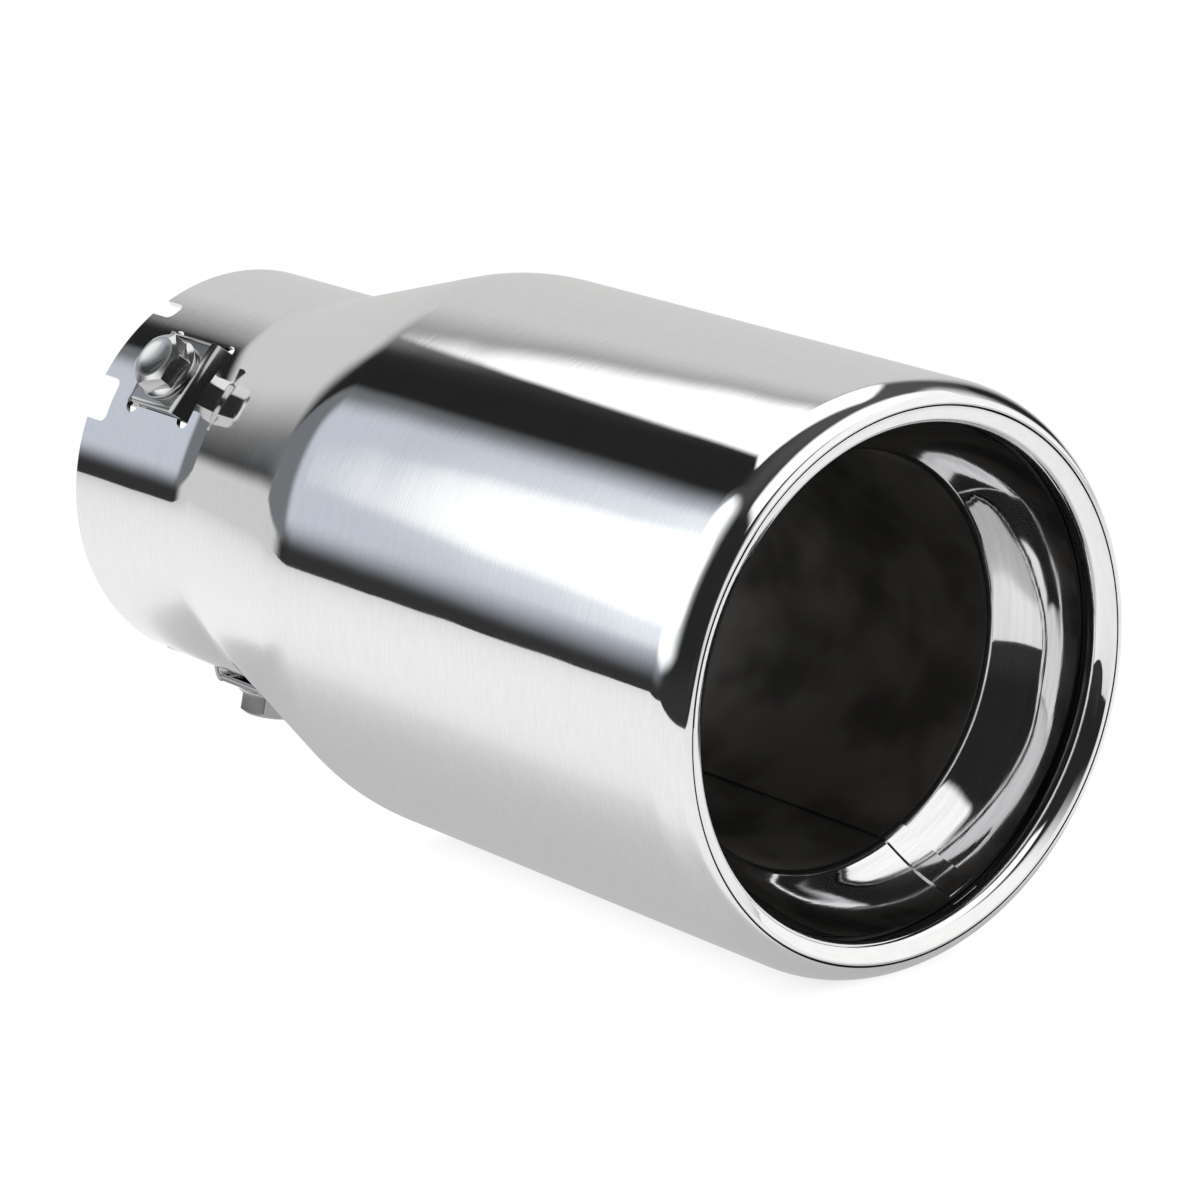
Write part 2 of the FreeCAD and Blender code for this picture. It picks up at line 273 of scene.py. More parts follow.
def draw_path(mesh, start, heading, moves, gauge):
    """A chain of edges along runs and bends of a sheet whose gauge is to its right."""
    tip = mesh.verts.new(start)
    for size, turn in moves:
        if turn:
            radius = size if turn > 0 else size + gauge
            side = math.copysign(radius, turn)
            steps = max(2, math.ceil(abs(math.degrees(turn)) / STEP_ANGLE))
            made = bmesh.ops.spin(
                mesh, geom=[tip], cent=tip.co + left_of(heading) * side,
                axis=(0, -1, 0), angle=turn, steps=steps,
            )
            tip = only_verts(made["geom_last"])[0]
            heading += turn
        elif size > 0:
            made = bmesh.ops.extrude_vert_indiv(mesh, verts=[tip])
            tip = made["verts"][0]
            tip.co += ahead(heading) * size
    return tip.co.copy()


def path_end(start, heading, moves, gauge):
    """Where a path of runs and bends ends."""
    sketch = bmesh.new()
    end = draw_path(sketch, start, heading, moves, gauge)
    sketch.free()
    return end


def face_left(mesh, start, heading):
    """Turns a sheet's faces to the left of its path, the side away from its gauge."""
    bmesh.ops.recalc_face_normals(mesh, faces=mesh.faces)
    first = min(mesh.faces, key=lambda face: (face.calc_center_median() - start).length)
    if first.normal.dot(left_of(heading)) < 0:
        bmesh.ops.reverse_faces(mesh, faces=mesh.faces)


def round_sheet(start, heading, moves, gauge):
    """The visible face of a sheet bent along a path and spun about the tip's axis."""
    mesh = bmesh.new()
    draw_path(mesh, start, heading, moves, gauge)
    bmesh.ops.spin(
        mesh, geom=mesh.verts[:] + mesh.edges[:], cent=ORIGIN, axis=AXIS,
        angle=math.tau, steps=ROUND_STEPS, use_merge=True,
    )
    bmesh.ops.remove_doubles(mesh, verts=mesh.verts, dist=MERGE_DISTANCE)
    face_left(mesh, start, heading)
    return mesh


def as_object(name, mesh):
    """A new object that holds a bmesh, which is freed."""
    data = bpy.data.meshes.new(name)
    mesh.to_mesh(data)
    mesh.free()
    thing = bpy.data.objects.new(name, data)
    bpy.context.scene.collection.objects.link(thing)
    return thing


def apply_modifiers(thing):
    """Keeps an object's modified shape as its mesh."""
    bpy.context.view_layer.update()
    graph = bpy.context.evaluated_depsgraph_get()
    shaped = bpy.data.meshes.new_from_object(thing.evaluated_get(graph))
    thing.modifiers.clear()
    old = thing.data
    thing.data = shaped
    bpy.data.meshes.remove(old)


def thicken(thing, gauge):
    """Gives a sheet its gauge, behind its visible face."""
    wall = thing.modifiers.new("Gauge", "SOLIDIFY")
    wall.thickness = gauge
    wall.offset = -1
    wall.use_even_offset = True
    wall.use_quality_normals = True
    apply_modifiers(thing)


def join_shape(thing, cutter, operation):
    """Cuts, joins or intersects an object with another one, which is used up."""
    cut = thing.modifiers.new("Cut", "BOOLEAN")
    cut.object = cutter
    cut.operation = operation
    cut.solver = "MANIFOLD"
    apply_modifiers(thing)
    used = cutter.data
    bpy.data.objects.remove(cutter)
    bpy.data.meshes.remove(used)


def shade(thing, crease=math.radians(30)):
    """Smooth shading that keeps edges sharper than crease."""
    thing.data.shade_smooth()
    thing.data.set_sharp_from_angle(angle=crease)


def finish_piece(thing, material, slot, *nodes):
    """Gives a piece its material and lets it stand for its CAD nodes."""
    thing.data.materials.clear()
    thing.data.materials.append(material)
    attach(thing, BODY)
    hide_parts(*nodes)


def clamp_angles():
    """Angles of the clamps round the tip."""
    first = settings("tip_clamp").first_turn
    return [first + math.tau * i / CLAMP_COUNT for i in range(CLAMP_COUNT)]


def turn_shape(mesh, verts, turn):
    """Turns vertices made on the +Z side to an angle round the tip."""
    bmesh.ops.rotate(mesh, verts=verts, cent=ORIGIN, matrix=Matrix.Rotation(turn, 3, "X"))


def seam_place():
    """Where the shell's front edge meets the lip ring, on the visible face."""
    sizes = settings("tip_shell")
    end = path_end(ORIGIN, 0, shell_front(sizes), sizes.gauge)
    return Vector((TIP_LENGTH, 0, BARREL_RADIUS + end.z))


def shell_front(sizes):
    """The rolled front edge of the shell."""
    rest = sizes.roll_turn - math.radians(90)
    return [(sizes.roll, -sizes.roll_turn), (sizes.edge, rest), (sizes.edge_land, 0)]


def shell_moves(sizes):
    """The shell's path from the rear rim to the seam."""
    neck_radius = NECK_BORE + sizes.gauge
    bends = (sizes.throat, sizes.shoulder)
    flare = side_step(BARREL_RADIUS - neck_radius, sizes.flare, bends, sizes.gauge)
    front = shell_front(sizes)
    taken = path_end(ORIGIN, 0, flare, sizes.gauge).x
    taken += path_end(ORIGIN, 0, front, sizes.gauge).x
    barrel = TIP_LENGTH - sizes.neck_run - taken
    return [(sizes.neck_run, 0)] + flare + [(barrel, 0)] + front


def ring_moves(sizes, gauge):
    """The lip ring's path from the seam to its rear flange."""
    rest = sizes.crease_turn - math.radians(90)
    nose = [
        (sizes.land, 0),
        (sizes.crease, -sizes.crease_turn),
        (sizes.band, 0),
        (sizes.nose, rest),
        (sizes.nose_land, 0),
    ]
    bends = (sizes.joggle_bend, sizes.joggle_bend)
    return nose + side_step(-sizes.joggle, sizes.joggle_turn, bends, gauge)


def liner_place():
    """The liner's front edge, on its visible inner face."""
    sizes = settings("tip_liner")
    gauge = settings("tip_shell").gauge
    moves = ring_moves(settings("tip_ring"), gauge)
    flange = path_end(seam_place(), math.radians(-90), moves, gauge)
    inset = sizes.clearance + sizes.gauge
    return flange - Vector((sizes.mouth_gap, 0, inset))


def tube_bore():
    """Inside radius of the inner tube."""
    sizes = settings("tip_liner")
    return NECK_BORE - sizes.tube_clearance - sizes.gauge


def joint_place(sizes):
    """Where the liner's tube meets the inner tube, on the visible inner face."""
    bends = (sizes.bend, sizes.bend)
    cone = side_step(liner_place().z - tube_bore(), sizes.cone, bends, sizes.gauge)
    moves = [(sizes.band, 0)] + cone + [(sizes.tube_run, 0)]
    return path_end(liner_place(), math.pi, moves, sizes.gauge)


def liner_heading(sizes):
    """The liner's heading at its front edge, backwards and inwards."""
    return math.pi + sizes.mouth_slope


def liner_moves(sizes):
    """The liner's path down its swept cone and along its tube, and where the cone ends."""
    drop = liner_place().z - tube_bore()
    drop -= sizes.sweep * (math.cos(sizes.mouth_slope) - math.cos(sizes.foot_slope))
    drop -= (sizes.foot_bend + sizes.gauge) * (1 - math.cos(sizes.foot_slope))
    cone = [
        (sizes.sweep, sizes.foot_slope - sizes.mouth_slope),
        (drop / math.sin(sizes.foot_slope), 0),
        (sizes.foot_bend, -sizes.foot_slope),
    ]
    cone_end = path_end(liner_place(), liner_heading(sizes), cone, sizes.gauge).x
    return cone + [(cone_end - joint_place(sizes).x, 0)], cone_end


def bevel_edges(mesh, edges, radius, segments, clamp=True):
    """Rounds edges of a bmesh. Gives back the new vertices."""
    return bmesh.ops.bevel(
        mesh, geom=edges, offset=radius, segments=segments, profile=0.5,
        affect="EDGES", material=-1, clamp_overlap=clamp,
    )["verts"]


def groove_seam(thing, depth):
    """Leaves half of the polished seam's V on the rim of a thickened sheet."""
    place = seam_place()
    mesh = bmesh.new()
    mesh.from_mesh(thing.data)
    rim = [
        e for e in mesh.edges
        if all(
            abs(v.co.x - place.x) < SAME_PLACE and abs(v.co.yz.length - place.z) < SAME_PLACE
            for v in e.verts
        )
    ]
    bevel_edges(mesh, rim, depth, 1, clamp=False)
    mesh.to_mesh(thing.data)
    mesh.free()


def add_rounded_block(mesh, x_from, x_to, width, corners):
    """A prism through the neck's wall on the +Z side, with rounded upright edges."""
    made = bmesh.ops.create_cube(mesh, size=1.0)["verts"]
    bmesh.ops.scale(mesh, verts=made, vec=(x_to - x_from, width, NECK_BORE))
    middle = Vector(((x_from + x_to) / 2, 0, NECK_BORE))
    bmesh.ops.translate(mesh, verts=made, vec=middle)
    upright = {
        e for v in made for e in v.link_edges
        if abs(e.verts[0].co.z - e.verts[1].co.z) > NECK_BORE / 2
    }
    for x, radius in corners:
        edges = [e for e in upright if e.is_valid and abs(e.verts[0].co.x - x) < SAME_PLACE]
        if radius > 0:
            added = bevel_edges(mesh, edges, radius, CORNER_STEPS, clamp=False)
            made = list({v for v in made if v.is_valid} | set(added))
    return made


def neck_cutters():
    """One object with every slot, screw hole and notch of the neck."""
    sizes = settings("tip_clamp")
    mesh = bmesh.new()
    leg_end = math.sqrt((NECK_BORE + sizes.setback) ** 2 - (sizes.plate_width / 2) ** 2)
    neck_radius = NECK_BORE + settings("tip_shell").gauge
    near = leg_reach(neck_radius) - sizes.plate_gauge / math.sin(sizes.leg_slope)
    near -= sizes.slot_side
    far = leg_reach(leg_end) + sizes.slot_side
    long_side = sizes.plate_width + 2 * sizes.slot_end
    for clamp in clamp_angles():
        for x in (sizes.place - far, sizes.place + near):
            end = (far - near) / 2 * SLOT_ROUNDING
            ends = [(x, end), (x + far - near, end)]
            block = add_rounded_block(mesh, x, x + far - near, long_side, ends)
            turn_shape(mesh, block, clamp)
        radius = collar_radius() + sizes.collar_gap
        span = (NECK_BORE / 2, NECK_BORE * 3 / 2)
        hole = add_upright(mesh, radius, sizes.place, *span, HOLE_STEPS)
        turn_shape(mesh, hole, clamp)
        notches = ((sizes.wide_notch, sizes.wide_turn), (sizes.narrow_notch, sizes.narrow_turn))
        for width, turn in notches:
            depth = sizes.notch_depth
            inner = [(depth, sizes.notch_corner)]
            block = add_rounded_block(mesh, -depth, depth, width, inner)
            turn_shape(mesh, block, clamp + turn)
    return as_object("neck_cutters", mesh)


def screw_hole():
    """Radius of the thread's hole in the plate and its collar."""
    return settings("tip_screw").thread_radius + settings("tip_clamp").thread_gap


def collar_radius():
    """Outside radius of the collar round the screw."""
    return screw_hole() + settings("tip_clamp").collar_wall


def plate_top():
    """Height of the plate's top over the tip's axis."""
    sizes = settings("tip_clamp")
    return NECK_BORE + settings("tip_shell").gauge + sizes.standoff + sizes.plate_gauge


def leg_reach(height):
    """Distance along the tip from the screw to a leg's outer face, at a height."""
    sizes = settings("tip_clamp")
    outside = sizes.plate_bend + sizes.plate_gauge
    bend_end = plate_top() - outside * (1 - math.cos(sizes.leg_slope))
    reach = sizes.plate_flat / 2 + outside * math.sin(sizes.leg_slope)
    return reach + (bend_end - height) / math.tan(sizes.leg_slope)


def add_upright(mesh, radius, x, low, high, segments=BAR_STEPS):
    """A round bar along Z. Gives back its vertices."""
    made = bmesh.ops.create_cone(
        mesh, cap_ends=True, segments=segments, radius1=radius, radius2=radius,
        depth=high - low,
    )["verts"]
    bmesh.ops.translate(mesh, verts=made, vec=(x, 0, (low + high) / 2))
    return made


def upright_object(name, radius, x, low, high):
    """A round bar along Z as an object of its own."""
    mesh = bmesh.new()
    add_upright(mesh, radius, x, low, high)
    return as_object(name, mesh)


def bore_object():
    """A bar a little wider than the neck's bore, which the pipe must clear."""
    mesh = bmesh.new()
    reach = NECK_BORE + settings("tip_clamp").setback
    made = add_upright(mesh, reach, 0, -TIP_LENGTH, TIP_LENGTH, ROUND_STEPS)
    turn = Matrix.Rotation(math.radians(90), 3, "Y")
    bmesh.ops.rotate(mesh, verts=made, cent=ORIGIN, matrix=turn)
    return as_object("bore", mesh)


def clamp_plate(name, turn):
    """One clamp plate, made over +Z and turned to its place."""
    sizes = settings("tip_clamp")
    outside = sizes.plate_bend + sizes.plate_gauge
    slope = sizes.leg_slope
    low = NECK_BORE - sizes.plate_width / 4
    leg = (plate_top() - outside * (1 - math.cos(slope)) - low) / math.sin(slope)
    moves = [
        (leg, 0),
        (sizes.plate_bend, -slope),
        (sizes.plate_flat, 0),
        (sizes.plate_bend, -slope),
        (leg, 0),
    ]
    start = Vector((sizes.place - leg_reach(low), -sizes.plate_width / 2, low))
    mesh = bmesh.new()
    draw_path(mesh, start, slope, moves, sizes.plate_gauge)
    made = bmesh.ops.extrude_edge_only(mesh, edges=mesh.edges[:])["geom"]
    bmesh.ops.translate(mesh, verts=only_verts(made), vec=(0, sizes.plate_width, 0))
    face_left(mesh, start, slope)
    plate = as_object(name, mesh)
    thicken(plate, sizes.plate_gauge)

    mesh = bmesh.new()
    mesh.from_mesh(plate.data)
    sides = [
        e for e in mesh.edges
        if e.calc_length() > sizes.plate_flat * 0.9
        and all(abs(v.co.z - plate_top()) < SAME_PLACE for v in e.verts)
        and abs(e.verts[0].co.y - e.verts[1].co.y) < SAME_PLACE
    ]
    bevel_edges(mesh, sides, sizes.plate_corner, 5)
    sharp = [
        e for e in mesh.edges
        if e.is_manifold and e.calc_face_angle() > math.radians(50)
    ]
    bevel_edges(mesh, sharp, sizes.deburr, 2)
    mesh.to_mesh(plate.data)
    mesh.free()

    middle = plate_top() - sizes.plate_gauge / 2
    collar = upright_object("collar", collar_radius(), sizes.place, NECK_BORE / 2, middle)
    join_shape(plate, collar, "UNION")
    hole = upright_object("hole", screw_hole(), sizes.place, 0, plate_top() * MARGIN)
    join_shape(plate, hole, "DIFFERENCE")
    join_shape(plate, bore_object(), "DIFFERENCE")
    shade(plate)
    plate.data.transform(Matrix.Rotation(turn, 4, "X"))
    return plate


def spin_outline(mesh):
    """Spins an outline about Z into a closed solid."""
    bmesh.ops.spin(
        mesh, geom=mesh.verts[:] + mesh.edges[:], cent=ORIGIN, axis=(0, 0, 1),
        angle=math.tau, steps=TURNED_STEPS, use_merge=True,
    )
    bmesh.ops.remove_doubles(mesh, verts=mesh.verts, dist=MERGE_DISTANCE)
    bmesh.ops.recalc_face_normals(mesh, faces=mesh.faces)


def draw_outline(mesh, outline):
    """A chain of edges in the XZ plane. Gives back its first vertex."""
    points = [mesh.verts.new((x, 0, z)) for x, z in outline]
    for pair in zip(points, points[1:]):
        mesh.edges.new(pair)
    return points[0]


def head_limit(sizes):
    """What the hexagon is trimmed to: the chamfer, the flat round the dish and the dish."""
    face_radius = sizes.across_flats / 2 - sizes.face_inset
    skirt = face_radius + sizes.head_height / math.tan(sizes.chamfer)
    dish_radius = face_radius - sizes.dish_inset
    ball = (dish_radius**2 + sizes.dish_depth**2) / (2 * sizes.dish_depth)
    dish_floor = sizes.head_height - sizes.dish_depth
    mesh = bmesh.new()
    made = bmesh.ops.spin(
        mesh, geom=[mesh.verts.new((0, 0, dish_floor))], cent=(0, 0, dish_floor + ball),
        axis=(0, -1, 0), angle=math.asin(dish_radius / ball), steps=DISH_STEPS,
    )
    rim = only_verts(made["geom_last"])[0]
    face = draw_outline(mesh, [(face_radius, sizes.head_height), (skirt, 0), (0, 0)])
    mesh.edges.new((rim, face))
    spin_outline(mesh)
    return as_object("head_limit", mesh)


def clamp_screw(name, turn, spanner_turn):
    """One hexagon flange screw, made over +Z and turned to its place."""
    sizes = settings("tip_screw")
    mesh = bmesh.new()
    corner = sizes.across_flats / 2 / math.cos(math.radians(30))
    hexagon = bmesh.ops.create_cone(
        mesh, cap_ends=True, segments=6, radius1=corner, radius2=corner,
        depth=sizes.head_height * 2,
    )["verts"]
    turned = Matrix.Rotation(math.radians(30), 3, "Z")
    bmesh.ops.rotate(mesh, verts=hexagon, cent=ORIGIN, matrix=turned)
    upright = [e for e in mesh.edges if abs(e.verts[0].co.z - e.verts[1].co.z) > MM]
    bevel_edges(mesh, upright, sizes.edge_round, 3)
    screw = as_object(name, mesh)
    join_shape(screw, head_limit(sizes), "INTERSECT")
    join_shape(screw, flange_object(sizes), "UNION")
    shade(screw, math.radians(25))
    stand = Matrix.Translation((settings("tip_clamp").place, 0, plate_top()))
    spanner = Matrix.Rotation(spanner_turn, 4, "Z")
    screw.data.transform(Matrix.Rotation(turn, 4, "X") @ stand @ spanner)
    return screw


def flange_object(sizes):
    """The screw's flange and shank, with z from the plate's top."""
    tip = NECK_BORE + settings("tip_clamp").setback - plate_top()
    top_radius = sizes.across_flats / 2
    rise = (sizes.flange_radius - top_radius) * math.tan(sizes.flange_slope)
    mesh = bmesh.new()
    draw_outline(mesh, [
        (0, tip),
        (sizes.thread_radius - sizes.tip_chamfer, tip),
        (sizes.thread_radius, tip + sizes.tip_chamfer),
        (sizes.thread_radius, 0),
        (sizes.flange_radius, 0),
        (sizes.flange_radius, sizes.flange_rim),
        (top_radius, sizes.flange_rim + rise),
        (0, sizes.flange_rim + rise),
    ])
    spin_outline(mesh)
    rims = [
        e for e in mesh.edges
        if e.is_manifold and e.calc_face_angle() > math.radians(20)
        and all(v.co.xy.length > sizes.thread_radius * MARGIN for v in e.verts)
    ]
    bevel_edges(mesh, rims, sizes.edge_round, 3)
    return as_object("flange", mesh)


def lap_strip(sizes):
    """The raised strip of the liner where its sheet laps over itself."""
    start = liner_place() - Vector((0, 0, sizes.lap_rise))
    mesh = bmesh.new()
    draw_path(mesh, start, liner_heading(sizes), liner_moves(sizes)[0], sizes.gauge)
    share_of_turn = sizes.lap_width / tube_bore()
    bmesh.ops.rotate(
        mesh, verts=mesh.verts, cent=ORIGIN,
        matrix=Matrix.Rotation(sizes.lap_place - share_of_turn / 2, 3, "X"),
    )
    bmesh.ops.spin(
        mesh, geom=mesh.verts[:] + mesh.edges[:], cent=ORIGIN, axis=AXIS,
        angle=share_of_turn, steps=LAP_STEPS,
    )
    bmesh.ops.recalc_face_normals(mesh, faces=mesh.faces)
    first = mesh.faces[0]
    inwards = Vector((0, -first.calc_center_median().y, -first.calc_center_median().z))
    if first.normal.dot(inwards) < 0:
        bmesh.ops.reverse_faces(mesh, faces=mesh.faces)
    strip = as_object("lap", mesh)
    thicken(strip, sizes.gauge)
    return strip


def add_node(tree, kind, values=(), **options):
    """A new shader node with options. Its inputs are fed by sockets or set to values."""
    node = tree.nodes.new(kind)
    for option, value in options.items():
        setattr(node, option, value)
    for name, value in dict(values).items():
        socket = node.inputs[name]
        if isinstance(value, bpy.types.NodeSocket):
            tree.links.new(value, socket)
        else:
            socket.default_value = (*value, 1) if socket.type == "RGBA" else value
    return node


def math_node(tree, operation, *values):
    """A math node fed by sockets or numbers. Gives back its result."""
    node = add_node(tree, "ShaderNodeMath", dict(enumerate(values)), operation=operation)
    return node.outputs[0]


def ramp(tree, value, low, high, to_low=0.0, to_high=1.0):
    """A smooth step of a value from low to high."""
    span = {"From Min": low, "From Max": high, "To Min": to_low, "To Max": to_high}
    node = add_node(
        tree, "ShaderNodeMapRange", {"Value": value, **span}, interpolation_type="SMOOTHSTEP",
    )
    return node.outputs["Result"]


def mix_values(tree, factor, first, second, kind="RGBA"):
    """Colour or number between two values, by a mask."""
    values = {"Factor": factor, "A": first, "B": second}
    return add_node(tree, "ShaderNodeMix", values, data_type=kind).outputs["Result"]


def distance_of(tree, first, second):
    """Length of a line from its two parts."""
    squares = [math_node(tree, "MULTIPLY", part, part) for part in (first, second)]
    return math_node(tree, "SQRT", math_node(tree, "ADD", *squares))


def noise(tree, vector, scale, detail, roughness=0.5):
    """A noise texture's value."""
    values = {"Vector": vector, "Scale": scale, "Detail": detail, "Roughness": roughness}
    return add_node(tree, "ShaderNodeTexNoise", values).outputs["Fac"]


def object_place(tree):
    """Place on the object itself."""
    return add_node(tree, "ShaderNodeTexCoord").outputs["Object"]


def split(tree, vector):
    """A vector's parts, by their letters."""
    return add_node(tree, "ShaderNodeSeparateXYZ", {0: vector}).outputs


def node_group(name, inputs, output_names):
    """An empty shader group with named sockets, and its given values and its results."""
    tree = bpy.data.node_groups.new(name, "ShaderNodeTree")
    for socket, default in inputs.items():
        kind = "NodeSocketVector" if isinstance(default, tuple) else "NodeSocketFloat"
        made = tree.interface.new_socket(socket, in_out="INPUT", socket_type=kind)
        made.default_value = default
    for socket in output_names:
        tree.interface.new_socket(socket, in_out="OUTPUT", socket_type="NodeSocketFloat")
    given = tree.nodes.new("NodeGroupInput").outputs
    return tree, given, tree.nodes.new("NodeGroupOutput").inputs


def empty_tree(owner):
    """A material's or world's shader nodes, emptied."""
    owner.use_nodes = True
    owner.node_tree.nodes.clear()
    return owner.node_tree


# Scales of the noise that makes the metals' patches and the sheet's slow waves
PATCH_SCALE = 60.0
WAVE_SCALE = 40.0


def polish_lines_group():
    """Fine lines that run round the tip, as a polishing wheel leaves them."""
    name = "Polish lines"
    if name in bpy.data.node_groups:
        return bpy.data.node_groups[name]
    inputs = {"Vector": (0, 0, 0), "Lines": 2200.0, "Run": 90.0}
    tree, given, result = node_group(name, inputs, ("Height", "Patches"))
    parts = split(tree, given["Vector"])
    stretch = add_node(tree, "ShaderNodeCombineXYZ", {
        side: math_node(tree, "MULTIPLY", parts[side], given[factor])
        for side, factor in (("X", "Lines"), ("Y", "Run"), ("Z", "Run"))
    })
    tree.links.new(noise(tree, stretch.outputs[0], 1.0, 3.0, 0.6), result["Height"])
    tree.links.new(noise(tree, given["Vector"], PATCH_SCALE, 2.0), result["Patches"])
    return tree


def round_the_tip(tree, place):
    """Distance along the tip's axis and from it."""
    parts = split(tree, place)
    return parts["X"], distance_of(tree, parts["Y"], parts["Z"])


def darker(base, loss):
    """A colour with a part of its brightness lost."""
    return tuple(c * (1 - loss) for c in base)


def metal(
    name, base, roughness, lines, run, depth, spread, mottle=0.0, streaks=0.0, waves=0.0, dull_and_shade=None,
):
    """Polished or rolled steel with fine lines round the tip, with another colour and roughness where a
    mask says so, for a duller finish, for dirt and for painted shade.

    Lines and run are the noise's scales across and along the fine lines. Depth and waves
    are the heights of those lines and of the sheet's slow waves.
    """
    material = bpy.data.materials.new(name)
    tree = empty_tree(material)
    place = object_place(tree)
    polish = add_node(
        tree, "ShaderNodeGroup", {"Vector": place, "Lines": lines, "Run": run},
        node_tree=polish_lines_group(),
    ).outputs
    grain = {"Strength": 1.0, "Distance": depth, "Height": polish["Height"]}
    if waves:
        sheet = {"Strength": 1.0, "Distance": waves, "Height": noise(tree, place, WAVE_SCALE, 1.0)}
        grain["Normal"] = add_node(tree, "ShaderNodeBump", sheet).outputs["Normal"]
    gloss = ramp(tree, polish["Patches"], 0.3, 0.7, roughness - spread, roughness + spread)
    patches = ramp(tree, polish["Patches"], 0.35, 0.65)
    marks = ramp(tree, polish["Height"], 0.3, 0.7, 0.0, streaks)
    tint = mix_values(tree, patches, tuple(base), darker(base, mottle))
    tint = mix_values(tree, marks, tint, darker(base, 0.5))
    # The mask's colour and roughness stand for a duller finish and dirt, and also for painted shade
    # where the mask covers a shaded place
    if dull_and_shade:
        mask, colour_there, gloss_there = dull_and_shade(tree, place)
        dull_and_shaded_tint = mix_values(tree, patches, colour_there, darker(colour_there, 0.5))
        tint = mix_values(tree, mask, tint, dull_and_shaded_tint)
        gloss = mix_values(tree, mask, gloss, gloss_there, "FLOAT")
    shader = add_node(tree, "ShaderNodeBsdfPrincipled", {
        "Metallic": 1.0,
        "Base Color": tint,
        "Roughness": gloss,
        "Normal": add_node(tree, "ShaderNodeBump", grain).outputs["Normal"],
    })
    add_node(tree, "ShaderNodeOutputMaterial", {"Surface": shader.outputs[0]})
    return material


# Painted shade in the dark gap behind the lip, where light does not reach: how far behind the lip
# it fades in, how far it lies inside the barrel, and the part of the tip's length where it can lie
GAP_FADE = (4.3 * MM, 3.9 * MM)
GAP_INSET = 4.2 * MM
GAP_ZONE = 0.8

# The dirt in the seam's V: its half width, and how far it reaches behind the lip
SEAM_HALF_WIDTH = 0.16 * MM
SEAM_REACH = 0.4 * MM
# Colour and roughness of the seam's dirt, and of the painted shade in the gap behind the lip
SHADE_AND_DIRT_COLOUR = (0.03, 0.03, 0.03)
SHADE_AND_DIRT_GLOSS = 0.5


def shell_steel():
    """Mirror-polished steel of the shell and the lip ring, with painted shade in the gap behind the lip
    and dirt in the seam's V, made once.
    """
    name = "polished_steel"
    if name in bpy.data.materials:
        return bpy.data.materials[name]
    finish = settings("tip_finish")

    # Paints shade into the gap behind the lip and dirt into the seam's V, both in one dark colour
    def gap_shade_and_seam_dirt(tree, place):
        along, away = round_the_tip(tree, place)
        dark, clear = (TIP_LENGTH - back for back in GAP_FADE)
        inside = math_node(tree, "LESS_THAN", away, BARREL_RADIUS - GAP_INSET)
        front = math_node(tree, "GREATER_THAN", along, TIP_LENGTH * GAP_ZONE)
        gap = math_node(tree, "MULTIPLY", ramp(tree, along, dark, clear, 1.0, 0.0), front)
        gap = math_node(tree, "MULTIPLY", gap, inside)
        off_seam = math_node(tree, "SUBTRACT", away, seam_place().z)
        off_seam = math_node(tree, "ABSOLUTE", off_seam)
        seam = math_node(tree, "LESS_THAN", off_seam, SEAM_HALF_WIDTH)
        outside = math_node(tree, "GREATER_THAN", along, TIP_LENGTH - SEAM_REACH)
        seam = math_node(tree, "MULTIPLY", seam, outside)
        return math_node(tree, "MAXIMUM", gap, seam), SHADE_AND_DIRT_COLOUR, SHADE_AND_DIRT_GLOSS

    return metal(
        name, finish.shell_colour, finish.shell_gloss,
        lines=2200.0, run=260.0, depth=3e-6, spread=0.01, streaks=0.1, waves=0.0001, dull_and_shade=gap_shade_and_seam_dirt,
    )


class TIP_OT_outer_shell(bpy.types.Operator):
    """Makes the outer shell: neck, flare, barrel and rolled front edge in one sheet."""

    bl_idname = "tip.outer_shell"
    bl_label = "Outer shell"

    def execute(self, context):
        sizes = settings("tip_shell")
        start = Vector((0, 0, NECK_BORE + sizes.gauge))
        mesh = round_sheet(start, 0, shell_moves(sizes), sizes.gauge)
        shell = as_object("shell_skin", mesh)
        thicken(shell, sizes.gauge)
        groove_seam(shell, sizes.groove)
        join_shape(shell, neck_cutters(), "DIFFERENCE")
        shade(shell)
        finish_piece(shell, shell_steel(), "polished_shell", "outer_shell")
        return {"FINISHED"}


class TIP_OT_lip_ring(bpy.types.Operator):
    """Makes the formed ring between the shell's front edge and the liner."""

    bl_idname = "tip.lip_ring"
    bl_label = "Lip ring"

    def execute(self, context):
        sizes = settings("tip_ring")
        shell = settings("tip_shell")
        moves = ring_moves(sizes, shell.gauge) + [(sizes.flange, 0)]
        mesh = round_sheet(seam_place(), math.radians(-90), moves, shell.gauge)
        ring = as_object("lip_skin", mesh)
        thicken(ring, shell.gauge)
        groove_seam(ring, shell.groove)
        shade(ring)
        finish_piece(ring, shell_steel(), "polished_shell", "lip_ring")
        return {"FINISHED"}


class TIP_OT_liner(bpy.types.Operator):
    """Makes the liner, rolled from one sheet with a lapped seam along it."""

    bl_idname = "tip.liner"
    bl_label = "Liner"

    def execute(self, context):
        sizes = settings("tip_liner")
        finish = settings("tip_finish")
        moves, cone_end = liner_moves(sizes)
        mesh = round_sheet(liner_place(), liner_heading(sizes), moves, sizes.gauge)
        liner = as_object("liner_skin", mesh)
        thicken(liner, sizes.gauge)
        join_shape(liner, lap_strip(sizes), "UNION")
        shade(liner)

        def back(tree, place):
            ends = (cone_end - MM / 2, cone_end + MM / 2)
            mask = ramp(tree, split(tree, place)["X"], *ends, 1.0, 0.0)
            return mask, tuple(finish.tube_colour), finish.tube_gloss

        steel = metal(
            "liner_steel", finish.liner_colour, finish.liner_gloss,
            lines=1500.0, run=60.0, depth=4e-6, spread=0.02, streaks=0.2, waves=0.0008, dull_and_shade=back,
        )
        finish_piece(liner, steel, "liner_steel", "liner")
        return {"FINISHED"}


